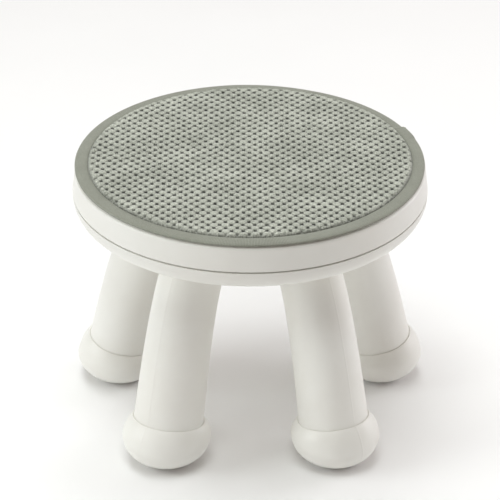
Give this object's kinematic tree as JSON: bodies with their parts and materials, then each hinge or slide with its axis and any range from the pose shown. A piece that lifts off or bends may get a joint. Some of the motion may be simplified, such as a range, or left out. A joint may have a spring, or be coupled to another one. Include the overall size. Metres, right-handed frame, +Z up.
{
  "type": "shower stool",
  "caption": "Low round shower stool: hollow two-shell plastic seat, bowed hollow legs with ball feet, and a lift-off bound plush mat.",
  "frame": {"origin": "on the floor, under the middle of the seat: the centre of the bounding box's bottom face", "axes": "+Z up, -Y the front (the side with the two closer legs), +X to the right as seen from the front"},
  "size_m": [0.2754, 0.27, 0.2126],
  "materials": {
    "shell_plastic": "smooth satin moulded plastic, warm white",
    "leg_plastic": "satin blow-moulded plastic, warm white, with a moulding seam",
    "plug_plastic": "plain moulded plastic",
    "pad_rubber": "matt thermoplastic rubber",
    "screw_steel": "zinc-plated steel",
    "hook_tape": "nylon hooks",
    "loop_tape": "nylon loops",
    "backing_rubber": "matt rubber backing",
    "foam": "soft open foam",
    "plush": "short plush with a diagonal grid of dark holes",
    "binding_tape": "fine cross-ribbed woven tape"
  },
  "bodies": {
    "seat": {"seat_top_shell": "shell_plastic", "seat_bottom_shell": "shell_plastic", "leg_front_left": "leg_plastic", "leg_front_right": "leg_plastic", "leg_back_left": "leg_plastic", "leg_back_right": "leg_plastic", "leg_plug_front_left": "plug_plastic", "leg_plug_front_right": "plug_plastic", "leg_plug_back_left": "plug_plastic", "leg_plug_back_right": "plug_plastic", "foot_pad_front_left": "pad_rubber", "foot_pad_front_right": "pad_rubber", "foot_pad_back_left": "pad_rubber", "foot_pad_back_right": "pad_rubber", "leg_screws": "screw_steel", "leg_washers": "screw_steel", "shell_screws": "screw_steel", "seat_hook_pads": "hook_tape"},
    "mat": {"mat_loop_pads": "loop_tape", "mat_backing": "backing_rubber", "mat_foam": "foam", "mat_plush": "plush", "mat_binding": "binding_tape"}
  },
  "joints": [
    {"name": "mat_lift", "type": "slide", "parent": "seat", "child": "mat", "axis": [0, 0, 1], "range_m": [0, 0.06]}
  ]
}
